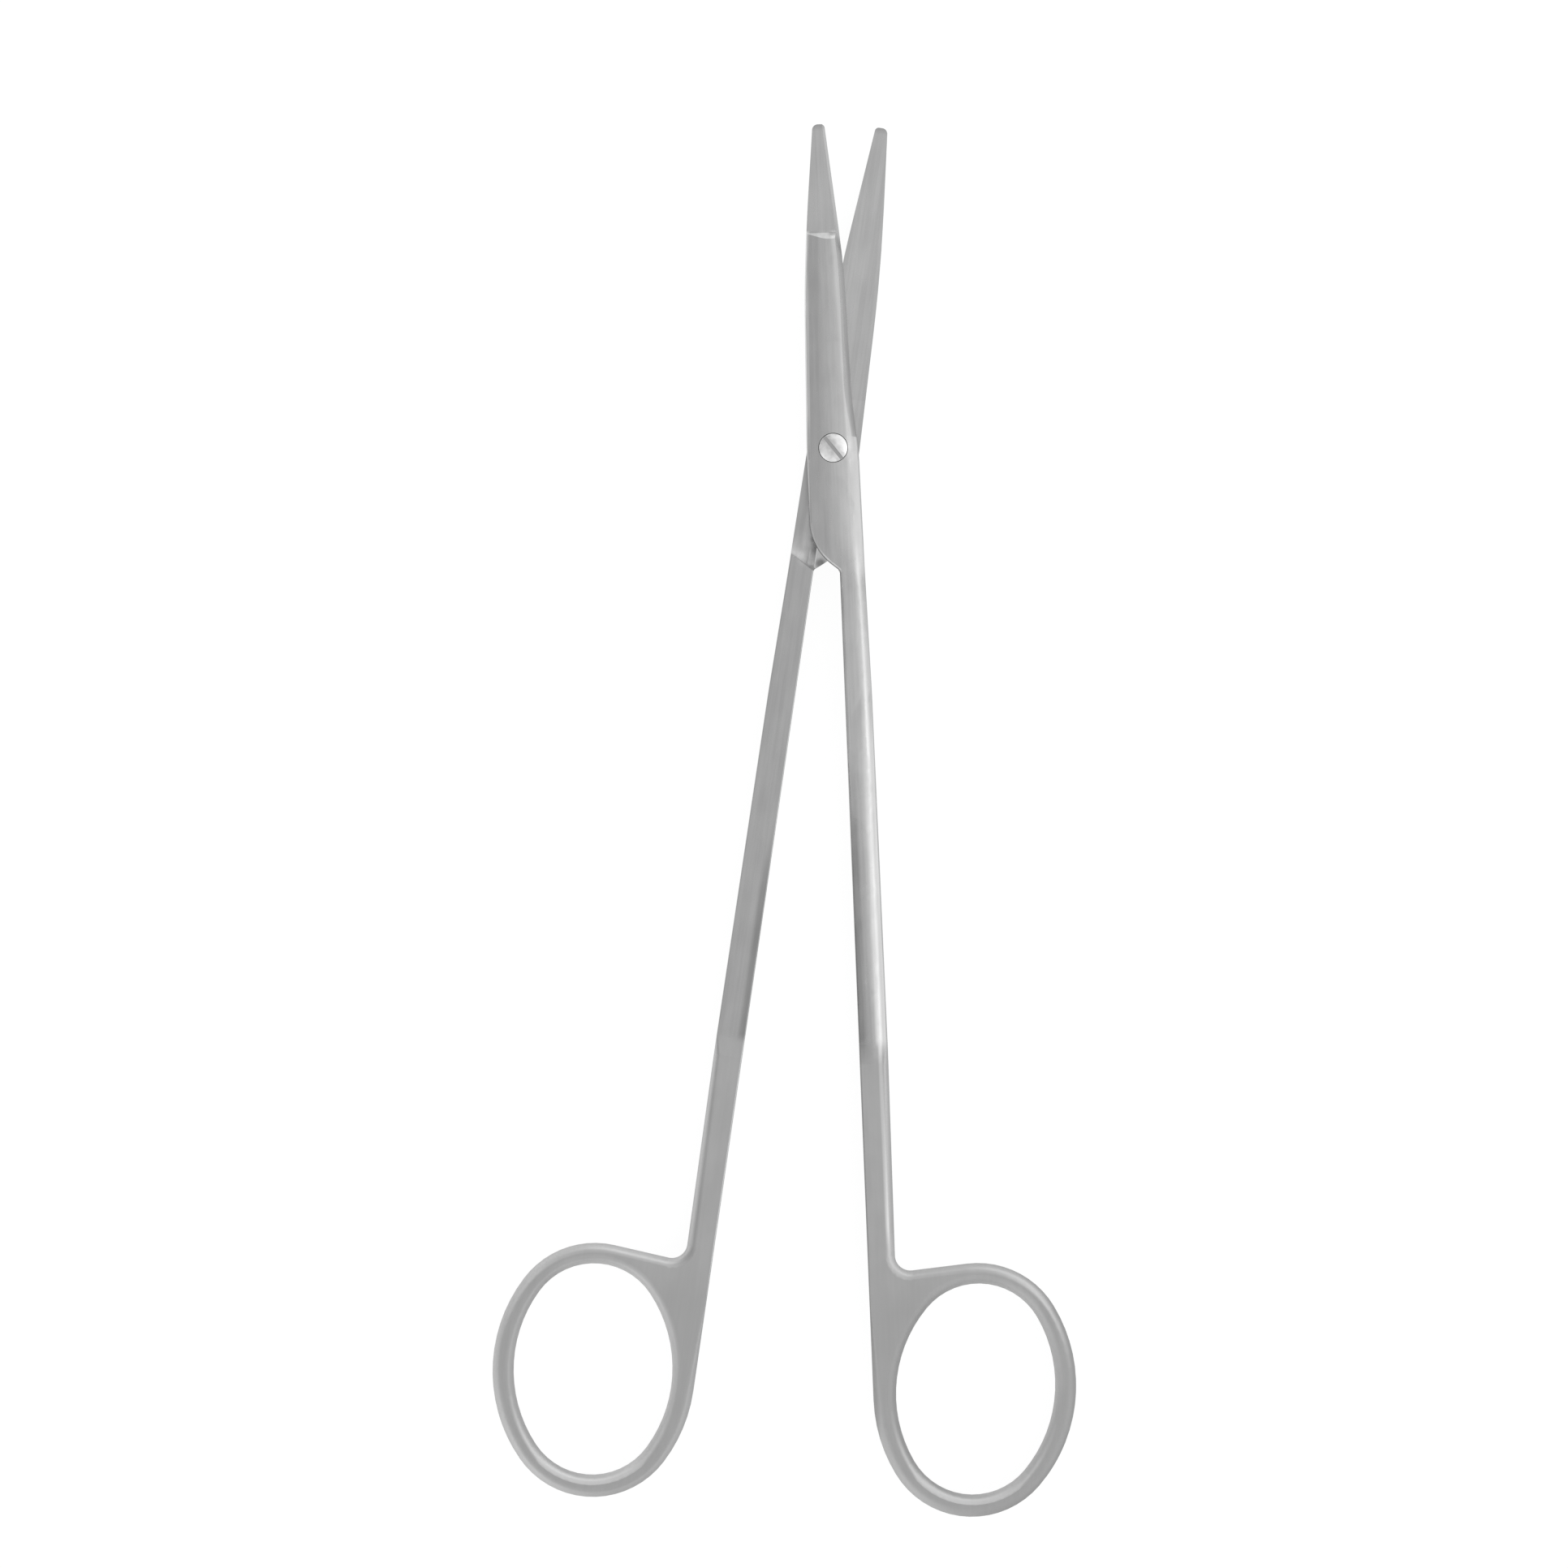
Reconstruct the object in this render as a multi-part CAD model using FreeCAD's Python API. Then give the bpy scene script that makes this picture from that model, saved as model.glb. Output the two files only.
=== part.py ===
import FreeCAD, Part
import math
import os

# Dissecting scissors, 180 mm long, in satin stainless steel: two forged halves on a slotted screw.
# Each half is modelled in its own frame: the pivot is the origin, +Y runs to the blade tip, the cutting
# edge and the finger ring lie on the +X side, the mating plane is Z = 0 and the rounded back faces +Z.

V = FreeCAD.Vector
Z_UP = V(0, 0, 1)

# How the pair lies: the angle between the halves, and the running gap between their mating faces
open_angle = 10.66
mating_gap = 0.06

# Blade in plan
tip_reach = 41.8
tip_spine_x = -0.98
tip_edge_x = 0.56
tip_spine_r = 0.75
tip_edge_r = 0.5
belly_y = 23.5
belly_edge_x = 2.33
belly_spine_x = -2.8
belly_spine_r = 220.0
belly_edge_r = 110.0

# Joint block in plan
block_spine_x = -3.41
block_spine_y = 0.0
block_spine_r = 110.0
block_edge_x = 3.28
block_edge_y = -1.0
ricasso_y = 7.0
ricasso_edge_x = 2.62
block_corner_r = 25.0
lap_end_angle = 40.0
lap_end_r = 7.0
lap_corner_y = -15.85
lap_corner_r = 0.6

# Shank in plan
shank_inner_x = 0.22
shank_root_y = -17.0
shank_root_w = 3.24
shank_mid_y = -32.0
shank_mid_w = 3.5
shank_w = 3.68
bow_root_w = 3.5
shank_bend_r = 120.0
finish_line_y = -77.0
fade_length = 2.5

# Height of the back above the mating plane: at the blade's step, the joint, the shank's root and rear
crown_step = 1.6
crown_joint = 2.3
crown_root = 2.06
crown_shank = 1.94
thinning_y = 2.0

# Blade and joint block in section: two ground facets that meet in a soft ridge
spine_fall = 14.5
edge_fall = 8.0
ridge_soft = 1.1
ridge_joint_x = -0.75
ridge_blade_x = 0.27
ridge_joint_y = -4.0
ridge_blade_y = 16.0
joint_round_x = 1.1
joint_round_r = 4.5

# Root of the shank in section: a flat that leans a little, with a round towards the outside
root_start_y = -8.0
root_y = -20.0
root_fall = 4.0
root_round_w = 1.5
root_round_r = 1.35

# Rear of the front shank in section: one round from side to side
rear_start_y = -32.0
rear_y = -47.0
rear_round_r = 2.4

# How closely the ground back is spaced out, along the half and across it
back_pitch = 4.5
back_columns = 16

# Depth of the shank's inner face below the mating plane, and the softened long edges
inner_face = 1.35
back_edge_r = 0.38
inner_edge_r = 0.15

# Flattened end of the blade
step_y = 27.9
flat_heel_t = 1.02
flat_tip_t = 0.78
step_slope = 32.0
step_foot_r = 0.8

# Cutting edge and hollow-ground inner face
edge_land = 0.08
bevel_angle = 66.0
edge_heel_y = 0.7
edge_runout = 1.2
hollow_depth = 0.09
hollow_r = 40.0
hollow_heel_y = 6.5
hollow_toe_y = 40.0

# Scooped shoulder at the root of the shank, and the bevel under the end of the block that clears it
shoulder_y = -16.05
shoulder_angle = 28.6
scoop_r = 5.0
relief_start = 0.15
relief_slope = 24.0

# Rounds of the ring and the rear shank: how far each reaches across the face and down the side
bow_round_w = 1.2
bow_round_h = 1.5
shank_round_w = 0.8
shank_round_h = 1.0
inner_round_w = 0.2
inner_round_h = 0.25
inner_round_end_y = -111.0

# Finger ring
bow_t = 3.7
bow_y = -122.0
bow_lean = 7.0
hole_half_w = 10.25
hole_half_l = 13.65
hole_end_r = 8.7
band_side = 2.8
band_end = 2.72
band_near_extra = 0.12
band_low_extra = 0.1
side_arcs = 3
web_rise = 4.7
crotch_r = 2.0

# Pivot screw and its seats
head_r = 1.83
head_rim_t = 0.25
head_rim_z = 2.02
head_top_z = 2.36
shoulder_r = 1.1
running_clearance = 0.05
head_clearance = 0.08
thread_r = 0.9
thread_clearance = 0.01
slot_w = 0.46
slot_depth = 0.5
slot_turn = -47.6
screw_end_recess = 0.05

# Flat on the underside of the lower half, dressed level round the end of the screw
land_t = 2.1

# How far cutting tools reach past the metal: a little, well clear, and beyond all of it
overcut = 1.0
margin = 6.0
reach_all = 200.0

# How finely lengths are told apart
tiny = 1e-5


def polar(centre, radius, degrees):
    """The point at an angle, counted from +X, on a circle in plan."""
    a = math.radians(degrees)
    return V(centre.x + radius * math.cos(a), centre.y + radius * math.sin(a), 0)


def arc(centre, radius, start, end):
    """A circular edge in plan from one angle to another."""
    middle = polar(centre, radius, (start + end) / 2)
    return Part.Arc(polar(centre, radius, start), middle, polar(centre, radius, end)).toShape()


def arcs(centre, radius, start, end, count):
    """The same edge in several arcs of equal sweep, end to end."""
    sweep = (end - start) / count
    return [arc(centre, radius, start + sweep * i, start + sweep * (i + 1)) for i in range(count)]


def line(a, b):
    return Part.LineSegment(a, b).toShape()


def rounded_chain(corners):
    """Edges through (x, y, radius) corners, with each corner rounded by its own radius."""
    points = [V(x, y, 0) for x, y, radius in corners]
    edges = []
    start = points[0]
    for i in range(1, len(points) - 1):
        before = (points[i - 1] - points[i]).normalize()
        after = (points[i + 1] - points[i]).normalize()
        half = before.getAngle(after) / 2
        radius = corners[i][2]
        reach = radius / math.tan(half)
        enter = points[i] + before * reach
        leave = points[i] + after * reach
        bisector = (before + after).normalize()
        middle = points[i] + bisector * (radius / math.sin(half) - radius)
        edges.append(line(start, enter))
        edges.append(Part.Arc(enter, middle, leave).toShape())
        start = leave
    edges.append(line(start, points[-1]))
    return edges


def plate(edges, z0, z1):
    """A flat plate with the outline of the edges, between two heights."""
    face = Part.Face(Part.Wire(edges))
    solid = face.extrude(V(0, 0, z1 - z0))
    solid.translate(V(0, 0, z0))
    return solid


def outer_x(y):
    """The outer edge of the shank, which widens from its root to the finish line."""
    if y > shank_mid_y:
        share = (shank_root_y - y) / (shank_root_y - shank_mid_y)
        return shank_inner_x + shank_root_w + share * (shank_mid_w - shank_root_w)
    share = (shank_mid_y - y) / (shank_mid_y - finish_line_y)
    return shank_inner_x + shank_mid_w + share * (shank_w - shank_mid_w)


def front_outline():
    """Blade, joint block and the front part of the shank in plan, up to the finish line."""
    end_rise = (shank_inner_x - block_spine_x) * math.tan(math.radians(lap_end_angle))
    chain = rounded_chain(
        [
            (shank_inner_x, finish_line_y, 0),
            (shank_inner_x, lap_corner_y, lap_corner_r),
            (block_spine_x, lap_corner_y + end_rise, lap_end_r),
            (block_spine_x, block_spine_y, block_spine_r),
            (belly_spine_x, belly_y, belly_spine_r),
            (tip_spine_x, tip_reach, tip_spine_r),
            (tip_edge_x, tip_reach, tip_edge_r),
            (belly_edge_x, belly_y, belly_edge_r),
            (ricasso_edge_x, ricasso_y, block_corner_r),
            (block_edge_x, block_edge_y, block_corner_r),
            (outer_x(shank_root_y), shank_root_y, shank_bend_r),
            (outer_x(shank_mid_y), shank_mid_y, shank_bend_r),
            (outer_x(finish_line_y), finish_line_y, 0),
        ]
    )
    chain.append(line(V(outer_x(finish_line_y), finish_line_y, 0), V(shank_inner_x, finish_line_y, 0)))
    return chain


def blend(y, start, end):
    """0 at the start, 1 at the end, level at both."""
    t = min(max((y - start) / (end - start), 0.0), 1.0)
    return t * t * (3 - 2 * t)


def crown_height(y):
    """How high the back stands above the mating plane."""
    along_shank = max((root_y - y) / (root_y - finish_line_y), 0.0)
    shank = crown_root + along_shank * (crown_shank - crown_root)
    thinning = blend(y, thinning_y, step_y) * (crown_step - crown_joint)
    return crown_joint + thinning + blend(y, root_start_y, root_y) * (shank - crown_joint)


def facet(distance):
    """How far out a facet has run at a distance from the ridge, which is soft, not sharp."""
    return (distance + math.sqrt(distance**2 + ridge_soft**2) - ridge_soft) / 2


def back_point(x, y):
    """The ground back: facets beside a ridge at blade and joint, and rounds along the shank."""
    to_blade = blend(y, ridge_joint_y, ridge_blade_y)
    to_root = blend(y, root_start_y, root_y)
    to_rear = blend(y, rear_start_y, rear_y)
    flat_end = outer_x(y) - root_round_w
    middle = (shank_inner_x + outer_x(y)) / 2

    ridge = ridge_joint_x + to_blade * (ridge_blade_x - ridge_joint_x)
    ridge += to_root * (flat_end - ridge)
    spine_slope = math.tan(math.radians(spine_fall)) * (1 - to_root)
    spine_slope += math.tan(math.radians(root_fall)) * to_root * (1 - to_rear)
    edge_slope = math.tan(math.radians(edge_fall)) * (1 - to_root)

    edge_round = joint_round_x + to_blade * (belly_edge_x - joint_round_x)
    edge_round += to_root * (flat_end - edge_round) + to_rear * (middle - flat_end)
    edge_bend = (1 - to_root) / joint_round_r
    edge_bend += (to_root - to_rear) / root_round_r + to_rear / rear_round_r
    spine_round = block_spine_x + to_root * (shank_inner_x - block_spine_x)
    spine_round += to_rear * (middle - shank_inner_x)

    fall = spine_slope * facet(ridge - x) + edge_slope * facet(x - ridge)
    fall += edge_bend * max(x - edge_round, 0.0) ** 2 / 2
    fall += max(spine_round - x, 0.0) ** 2 / (2 * rear_round_r)
    return V(x, y, crown_height(y) - fall)


def back_body():
    """Everything under the ground back, wider than the half and deeper than its inner face."""
    left = block_spine_x - overcut
    right = shank_inner_x + shank_w + overcut
    last = tip_reach + margin
    rows = round((last - finish_line_y) / back_pitch)
    columns = [left + (right - left) * i / back_columns for i in range(back_columns + 1)]
    grid = []
    for i in range(rows + 1):
        y = finish_line_y + (last - finish_line_y) * i / rows
        grid.append([back_point(x, y) for x in columns])
    surface = Part.BSplineSurface()
    surface.interpolate(grid)
    return surface.toShape().extrude(Z_UP * -(crown_joint + inner_face + margin))


def along_half(edge):
    """Whether an edge runs along the half, not up its side or across its end."""
    box = edge.BoundBox
    upright = box.XLength < tiny and box.YLength < tiny
    on_end = box.YLength < tiny and abs(box.YMin - finish_line_y) < tiny
    return not upright and not on_end


def on_inner_face(edge):
    box = edge.BoundBox
    return box.ZLength < tiny and abs(box.ZMin + inner_face) < tiny


def front_body():
    """Blade, joint block and front shank at full thickness, with every long edge softened."""
    solid = plate(front_outline(), -inner_face, margin).common(back_body()).Solids[0]
    back_edges = [edge for edge in solid.Edges if along_half(edge) and not on_inner_face(edge)]
    solid = solid.makeFillet(back_edge_r, back_edges)
    inner_edges = [edge for edge in solid.Edges if along_half(edge) and on_inner_face(edge)]
    return solid.makeFillet(inner_edge_r, inner_edges)


def prism(profile, origin, along, across, reach):
    """Extrude a closed (distance, height) profile, with the distance counted along 'along'."""
    points = [origin + along * d + Z_UP * z for d, z in profile]
    edges = [line(points[i], points[(i + 1) % len(points)]) for i in range(len(points))]
    face = Part.Face(Part.Wire(edges))
    face.translate(across * -reach)
    return face.extrude(across * 2 * reach)


def direction(degrees):
    a = math.radians(degrees)
    return V(math.cos(a), math.sin(a), 0)


def scoop_run():
    """How far the scooped shoulder runs, from the mating plane down to the inner face."""
    return math.sqrt(2 * scoop_r * inner_face - inner_face**2)


def lap_tool():
    """What is ground away under the blade and block, ending in the scoop at the shank's shoulder."""
    across = direction(shoulder_angle)
    along = direction(shoulder_angle + 90)
    start = V(shank_inner_x, shoulder_y, 0) + along * scoop_run()
    far = V(0, 0, 0) + along * reach_all
    deep = Z_UP * -(2 * scoop_r + margin)
    low = start - along * scoop_r - Z_UP * scoop_r
    eighth = math.pi / 4
    on_scoop = start - along * scoop_r * math.sin(eighth) - Z_UP * scoop_r * (1 - math.cos(eighth))
    edges = [
        line(start + far, start),
        Part.Arc(start, on_scoop, low).toShape(),
        line(low, low + deep),
        line(low + deep, start + far + deep),
        line(start + far + deep, start + far),
    ]
    face = Part.Face(Part.Wire(edges))
    face.translate(across * -reach_all)
    return face.extrude(across * 2 * reach_all)


def relief_tool():
    """A wedge under the end of the block, where the other half's shoulder stands when closed."""
    across = direction(-shoulder_angle)
    along = direction(90 - shoulder_angle)
    origin = V(-shank_inner_x, shoulder_y, 0) + along * (scoop_run() - relief_start)
    rise = margin * math.tan(math.radians(relief_slope))
    profile = [(0, 0), (-margin, rise), (-margin, -overcut), (0, -overcut)]
    wedge = prism(profile, origin, along, across, reach_all)
    side = Part.makeBox(reach_all, reach_all, 2 * reach_all)
    side.translate(V(shank_inner_x - reach_all, -reach_all, -reach_all))
    return wedge.common(side)


def flat_tool():
    """What is ground off the back of the blade's end: a ramp, then a flat that thins to the tip."""
    rise = crown_joint + margin
    run = rise / math.tan(math.radians(step_slope))
    slope = (flat_heel_t - flat_tip_t) / (tip_reach - step_y)
    end = V(tip_reach + margin, flat_tip_t - slope * margin, 0)
    top = flat_heel_t + rise
    chain = rounded_chain(
        [
            (step_y - run, top, 0),
            (step_y, flat_heel_t, step_foot_r),
            (end.x, end.y, 0),
        ]
    )
    chain.append(line(end, V(end.x, top, 0)))
    chain.append(line(V(end.x, top, 0), V(step_y - run, top, 0)))
    face = Part.Face(Part.Wire(chain))
    face.rotate(V(0, 0, 0), V(1, 1, 1), 120)
    face.translate(V(-margin, 0, 0))
    return face.extrude(V(2 * margin, 0, 0))


def edge_side(shift, heel_y, z):
    """The room outside the cutting edge at one height, with the edge moved inwards by shift."""
    slope = (tip_edge_x - belly_edge_x) / (tip_reach - belly_y)
    over = tip_reach + margin
    chain = rounded_chain(
        [
            (block_edge_x - shift, heel_y, 0),
            (ricasso_edge_x - shift, ricasso_y, block_corner_r),
            (belly_edge_x - shift, belly_y, belly_edge_r),
            (tip_edge_x - shift + slope * margin, over, 0),
        ]
    )
    wide = block_edge_x + margin
    chain.append(line(chain[-1].Vertexes[-1].Point, V(wide, over, 0)))
    chain.append(line(V(wide, over, 0), V(wide, heel_y, 0)))
    chain.append(line(V(wide, heel_y, 0), V(block_edge_x - shift, heel_y, 0)))
    wire = Part.Wire(chain)
    wire.translate(V(0, 0, z))
    return wire


def bevel_tool():
    """The wedge of metal ground off to bring the back down to the cutting edge."""
    high = crown_joint + overcut
    shift = (high - edge_land) / math.tan(math.radians(bevel_angle))
    low_wire = edge_side(0, edge_heel_y, edge_land)
    high_wire = edge_side(shift, edge_heel_y + edge_runout, high)
    return Part.makeLoft([low_wire, high_wire], True, True)


def hollow_tool():
    """A long shallow hollow in the inner face, so that the blades touch at their edges alone."""
    heel = V((block_spine_x + ricasso_edge_x) / 2, hollow_heel_y, hollow_depth - hollow_r)
    toe = V((tip_spine_x + tip_edge_x) / 2, hollow_toe_y, -hollow_r)
    return Part.makeCylinder(hollow_r, (toe - heel).Length, heel, toe - heel)


class Oval:
    """An oval of tight ends and long sides, leaning by an angle. Each side is several arcs of one circle."""

    def __init__(self, centre, half_w, half_l, end_r, lean):
        self.side_r = (half_w**2 + half_l**2 - 2 * half_l * end_r) / (2 * (half_w - end_r))
        self.end_r = end_r
        self.lean = lean
        up = direction(90 - lean)
        right = direction(-lean)
        self.top = centre + up * (half_l - end_r)
        self.bottom = centre - up * (half_l - end_r)
        self.left_side = centre + right * (self.side_r - half_w)
        self.right_side = centre - right * (self.side_r - half_w)
        self.joint = math.degrees(math.atan2(half_l - end_r, self.side_r - half_w))

    def closed(self):
        """The whole oval, counter-clockwise from the right."""
        a, t = self.joint, -self.lean
        oval = arcs(self.right_side, self.side_r, t - a, t + a, side_arcs)
        oval += arcs(self.top, self.end_r, t + a, t + 180 - a, 1)
        oval += arcs(self.left_side, self.side_r, t + 180 - a, t + 180 + a, side_arcs)
        return oval + arcs(self.bottom, self.end_r, t + 180 + a, t + 360 - a, 1)

    def from_left(self, top_angle):
        """From the leftmost point round the bottom and the right side to a point on the top."""
        a, t = self.joint, -self.lean
        oval = arcs(self.left_side, self.side_r, 180, t + 180 + a, 1)
        oval += arcs(self.bottom, self.end_r, t + 180 + a, t + 360 - a, 1)
        oval += arcs(self.right_side, self.side_r, t - a, t + a, side_arcs)
        return oval + arcs(self.top, self.end_r, t + a, top_angle, 1)


def bow_ovals():
    """The outside of the ring, which just touches the line of the shank's inner side, and its hole."""
    half_w = hole_half_w + band_side
    half_l = hole_half_l + band_end
    end_r = hole_end_r + (band_side + band_end) / 2
    outer_y = bow_y - band_low_extra
    trial = Oval(V(0, outer_y, 0), half_w, half_l, end_r, bow_lean)
    centre_x = shank_inner_x - (trial.left_side.x - trial.side_r)
    outer = Oval(V(centre_x, outer_y, 0), half_w, half_l, end_r, bow_lean)
    hole_centre = V(centre_x + band_near_extra, bow_y, 0)
    hole = Oval(hole_centre, hole_half_w, hole_half_l, hole_end_r, bow_lean)
    return outer, hole


def round_section(foot, inward, size, side):
    """The corner outside an oval round, at one point of an outline, above or below."""
    width, height = size
    top = Z_UP * (side * bow_t / 2)
    low = foot + top - Z_UP * (side * height)
    high = foot + top + inward * width
    over = Z_UP * (side * overcut)
    quarter = Part.BSplineCurve()
    weights = [1, math.sqrt(0.5), 1]
    quarter.buildFromPolesMultsKnots([low, foot + top, high], [3, 3], [0, 1], False, 2, weights)
    around = [high, high + over, foot + top + over - inward * overcut, low - inward * overcut, low]
    return Part.Wire([quarter.toShape()] + [line(around[i], around[i + 1]) for i in range(4)])


def rim_tools(face, edge, first_size, last_size):
    """The metal taken off along one edge of an outline, above and below, to leave it rounded."""
    middle = (edge.FirstParameter + edge.LastParameter) / 2
    probe = edge.valueAt(middle) + edge.tangentAt(middle).cross(Z_UP) * overcut
    inwards = 1 if face.isInside(probe, tiny, True) else -1
    tools = []
    for side in (1, -1):
        sections = []
        for place, size in ((edge.FirstParameter, first_size), (edge.LastParameter, last_size)):
            inward = edge.tangentAt(place).cross(Z_UP) * inwards
            sections.append(round_section(edge.valueAt(place), inward, size, side))
        if edge.Curve.TypeId == "Part::GeomCircle":
            sweep = math.degrees(edge.LastParameter - edge.FirstParameter)
            tools.append(Part.Face(sections[0]).revolve(edge.Curve.Center, edge.Curve.Axis, sweep))
        else:
            tools.append(Part.makeLoft(sections, True, True))
    return tools


def bow_body():
    """Rear shank, web and finger ring as one plate, rounded to an oval section round the ring."""
    outer, hole = bow_ovals()
    start_y = finish_line_y - fade_length
    blank_y = start_y + overcut
    outer_root = shank_inner_x + bow_root_w
    top_angle = 90 + web_rise
    touch = polar(outer.top, outer.end_r, top_angle)
    corner_y = touch.y - (touch.x - outer_root) * math.tan(math.radians(web_rise))
    left = polar(outer.left_side, outer.side_r, 180)
    web = rounded_chain(
        [
            (touch.x, touch.y, 0),
            (outer_root, corner_y, crotch_r),
            (shank_inner_x + shank_w, blank_y, 0),
        ]
    )
    turn = V(shank_inner_x, inner_round_end_y, 0)
    inner_line = line(V(shank_inner_x, blank_y, 0), turn)
    ring_line = line(turn, left)
    across = line(V(shank_inner_x + shank_w, blank_y, 0), V(shank_inner_x, blank_y, 0))
    outline = [across, inner_line, ring_line] + outer.from_left(top_angle) + web
    face = Part.Face(Part.Wire(outline)).cut(Part.Face(Part.Wire(hole.closed()))).Faces[0]

    slight = (inner_round_w, inner_round_h)
    full = (bow_round_w, bow_round_h)
    tools = rim_tools(face, inner_line, slight, slight)
    tools += rim_tools(face, ring_line, slight, full)
    tools += rim_tools(face, web[-1], full, (shank_round_w, shank_round_h))
    for edge in outer.from_left(top_angle) + web[:-1] + hole.closed():
        tools += rim_tools(face, edge, full, full)
    solid = face.extrude(Z_UP * bow_t)
    solid.translate(Z_UP * (-bow_t / 2))
    ahead = Part.makeBox(2 * reach_all, reach_all, 2 * reach_all)
    ahead.translate(V(-reach_all, start_y, -reach_all))
    return solid.cut(tools).cut(ahead).Solids[0]


def end_wire(solid, y):
    """The outline of the flat face that a solid has across the shank at y."""
    for face in solid.Faces:
        box = face.BoundBox
        if box.YLength < tiny and abs(box.YMin - y) < tiny:
            return face.OuterWire
    raise ValueError("no face across the shank at %.2f" % y)


def turned(profile):
    """A solid of revolution about the pivot from a closed (radius, height) profile."""
    points = [V(r, 0, z) for r, z in profile]
    edges = [line(points[i], points[(i + 1) % len(points)]) for i in range(len(points))]
    return Part.Face(Part.Wire(edges)).revolve(V(0, 0, 0), Z_UP, 360)


def half_blank():
    """One forged and ground half, before its screw holes."""
    front = front_body()
    rear = bow_body()
    wires = [end_wire(front, finish_line_y), end_wire(rear, finish_line_y - fade_length)]
    fade = Part.makeLoft(wires, True, True)
    front = front.cut(lap_tool()).cut(relief_tool())
    front = front.cut(flat_tool()).cut(bevel_tool()).cut(hollow_tool())
    return front.fuse([fade, rear]).removeSplitter()


def head_base_z():
    """Where the countersunk cone of the head meets the shoulder of the screw."""
    return head_rim_z - head_rim_t - (head_r - shoulder_r)


def upper_half():
    """The half that carries the screw's head in a countersink."""
    bore_r = shoulder_r + running_clearance
    seat_r = head_r + head_clearance
    seat_z = head_base_z() - (head_clearance - running_clearance)
    rim_z = seat_z + (seat_r - bore_r)
    seat = [
        (0, -overcut),
        (bore_r, -overcut),
        (bore_r, seat_z),
        (seat_r, rim_z),
        (seat_r, margin),
        (0, margin),
    ]
    half = half_blank().cut(turned(seat))
    half.translate(V(0, 0, mating_gap))
    return half


def lower_half():
    """The half that the screw threads into, dressed flat round the end of the screw."""
    hole_r = thread_r + thread_clearance
    hole = turned([(0, -overcut), (hole_r, -overcut), (hole_r, margin), (0, margin)])
    above = Part.makeBox(2 * reach_all, 2 * reach_all, margin)
    above.translate(V(-reach_all, -reach_all, land_t))
    half = half_blank().cut(above).cut(hole)
    half.rotate(V(0, 0, 0), V(0, 1, 0), 180)
    return half


def pivot_screw():
    """Slotted screw: a domed countersunk head, a shoulder to turn on and a plain end in the thread."""
    rim = head_rim_z + mating_gap
    top = head_top_z + mating_gap
    base = head_base_z() + mating_gap
    rise = top - rim
    dome_r = (head_r**2 + rise**2) / (2 * rise)
    side = V(head_r, 0, rim)
    crown = V(0, 0, top)
    half_angle = math.asin(head_r / dome_r) / 2
    on_dome = V(dome_r * math.sin(half_angle), 0, top - dome_r + dome_r * math.cos(half_angle))
    foot = V(0, 0, screw_end_recess - land_t)
    corners = [
        foot,
        foot + V(thread_r, 0, 0),
        V(thread_r, 0, 0),
        V(shoulder_r, 0, 0),
        V(shoulder_r, 0, base),
        V(head_r, 0, rim - head_rim_t),
        side,
    ]
    edges = [line(corners[i], corners[i + 1]) for i in range(len(corners) - 1)]
    edges.append(Part.Arc(side, on_dome, crown).toShape())
    edges.append(line(crown, foot))
    screw = Part.Face(Part.Wire(edges)).revolve(V(0, 0, 0), Z_UP, 360)
    slot = Part.makeBox(4 * head_r, slot_w, slot_depth + overcut)
    slot.translate(V(-2 * head_r, -slot_w / 2, top - slot_depth))
    slot.rotate(V(0, 0, 0), Z_UP, slot_turn)
    return screw.cut(slot)


def place(shape, turn):
    """Swing a piece about the pivot, then stand it on the resting plane."""
    shape.rotate(V(0, 0, 0), Z_UP, turn)
    shape.translate(V(0, 0, land_t))
    return shape


def main():
    os.makedirs("parts", exist_ok=True)
    pieces = {
        "lower_half": place(lower_half(), -open_angle / 2),
        "upper_half": place(upper_half(), open_angle / 2),
        "pivot_screw": place(pivot_screw(), 0),
    }
    for name, shape in pieces.items():
        solid = shape.Solids[0]
        print(name, len(shape.Solids), solid.isValid(), round(solid.Volume, 2), len(solid.Faces))
        solid.exportStep("parts/" + name + ".step")


main()
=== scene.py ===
import math
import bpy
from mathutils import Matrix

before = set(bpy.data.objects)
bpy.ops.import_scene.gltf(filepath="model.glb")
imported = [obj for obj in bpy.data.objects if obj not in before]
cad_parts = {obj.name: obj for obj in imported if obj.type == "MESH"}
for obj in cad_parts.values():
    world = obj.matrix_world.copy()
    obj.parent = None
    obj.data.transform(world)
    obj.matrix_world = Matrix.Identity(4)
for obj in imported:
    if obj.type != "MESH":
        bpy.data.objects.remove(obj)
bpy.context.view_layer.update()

from types import SimpleNamespace
import bmesh
import bpy
from mathutils import Vector

# All sizes and places are in millimetres and all angles in degrees. Places on a half are counted in its
# own frame: along it from the pivot to the tip, and across it towards the side of the cutting edge.
MM = 0.001
HALF_ANGLE = 5.33
TIP = 41.8
STEP = 27.9
FINISH_LINE = -77.0
FINISH_BLEND = 0.8

# The framing: how wide the view is at the object's level, where its middle lies from the pivot, and the
# camera's roll, lens and range
VIEW_WIDTH = 202.3
VIEW_MIDDLE = (-4.06, -43.57)
OBJECT_LEVEL = 2.1
CAMERA_ROLL = 3.0
LENS = 200.0
SENSOR = 36.0
NEAREST = 10.0
FURTHEST = 20000.0

# The table: half its width, its gap under the steel, the glow that makes it white to the eye, and its paint
TABLE_REACH = 3000.0
TABLE_GAP = 0.02
TABLE_GLOW = 0.93
TABLE_PAINT = "#606060"

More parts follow.
